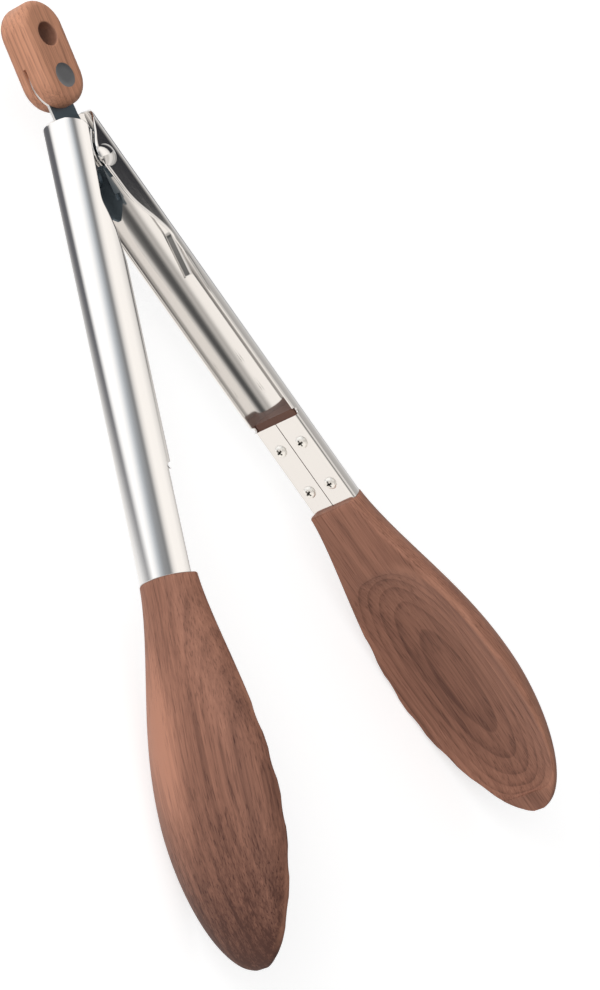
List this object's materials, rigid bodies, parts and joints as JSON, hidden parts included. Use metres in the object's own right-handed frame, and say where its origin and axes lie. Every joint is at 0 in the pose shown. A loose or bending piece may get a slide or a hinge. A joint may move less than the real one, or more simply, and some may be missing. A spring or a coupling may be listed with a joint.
{
  "type": "spring loaded kitchen tongs",
  "caption": "Spring loaded kitchen tongs: half-round steel channel arms on one rivet, carved wooden spoon tips, and a wooden pull that slides to lock the arms shut.",
  "frame": {"origin": "middle of the underside of the box around the tongs, lying on their side and half open as pictured", "axes": "+X from the pull towards the tips, +Y from the left arm towards the right arm, +Z along the pivot rivet, up"},
  "size_m": [0.3056, 0.154, 0.0496],
  "materials": {
    "steel": "polished stainless sheet",
    "walnut": "oiled walnut, satin",
    "dark_steel": "dark flush rivet"
  },
  "bodies": {
    "pivot": {"pivot_rivet": "steel", "pivot_sleeve": "steel", "leaf_spring": "steel"},
    "left_arm": {"left_arm": "steel", "left_tip": "walnut", "left_catch": "steel", "left_tip_screw_1": "steel", "left_tip_screw_2": "steel", "left_tip_screw_3": "steel", "left_tip_screw_4": "steel"},
    "right_arm": {"right_arm": "steel", "right_tip": "walnut", "right_catch": "steel", "right_tip_screw_1": "steel", "right_tip_screw_2": "steel", "right_tip_screw_3": "steel", "right_tip_screw_4": "steel"},
    "lock": {"lock_plate": "steel", "pull_tab": "walnut", "tab_rivet": "dark_steel"}
  },
  "joints": [
    {"name": "left_swing", "type": "hinge", "parent": "pivot", "child": "left_arm", "pos_m": [-0.09747, 0, 0.02478], "axis": [0, 0, 1], "range_deg": [0, 16], "stiffness_Nm_per_rad": 1, "springref_deg": -17.19, "deforming": ["leaf_spring"]},
    {"name": "right_swing", "type": "hinge", "parent": "pivot", "child": "right_arm", "pos_m": [-0.09747, 0, 0.02478], "axis": [0, 0, -1], "range_deg": [0, 16], "stiffness_Nm_per_rad": 1, "springref_deg": -17.19, "deforming": ["leaf_spring"]},
    {"name": "lock_slide", "type": "slide", "parent": "pivot", "child": "lock", "axis": [-1, 0, 0], "range_m": [0, 0.005]}
  ],
  "couplings": [
    {"joint": "right_swing", "follows": "left_swing", "ratio": 1}
  ]
}
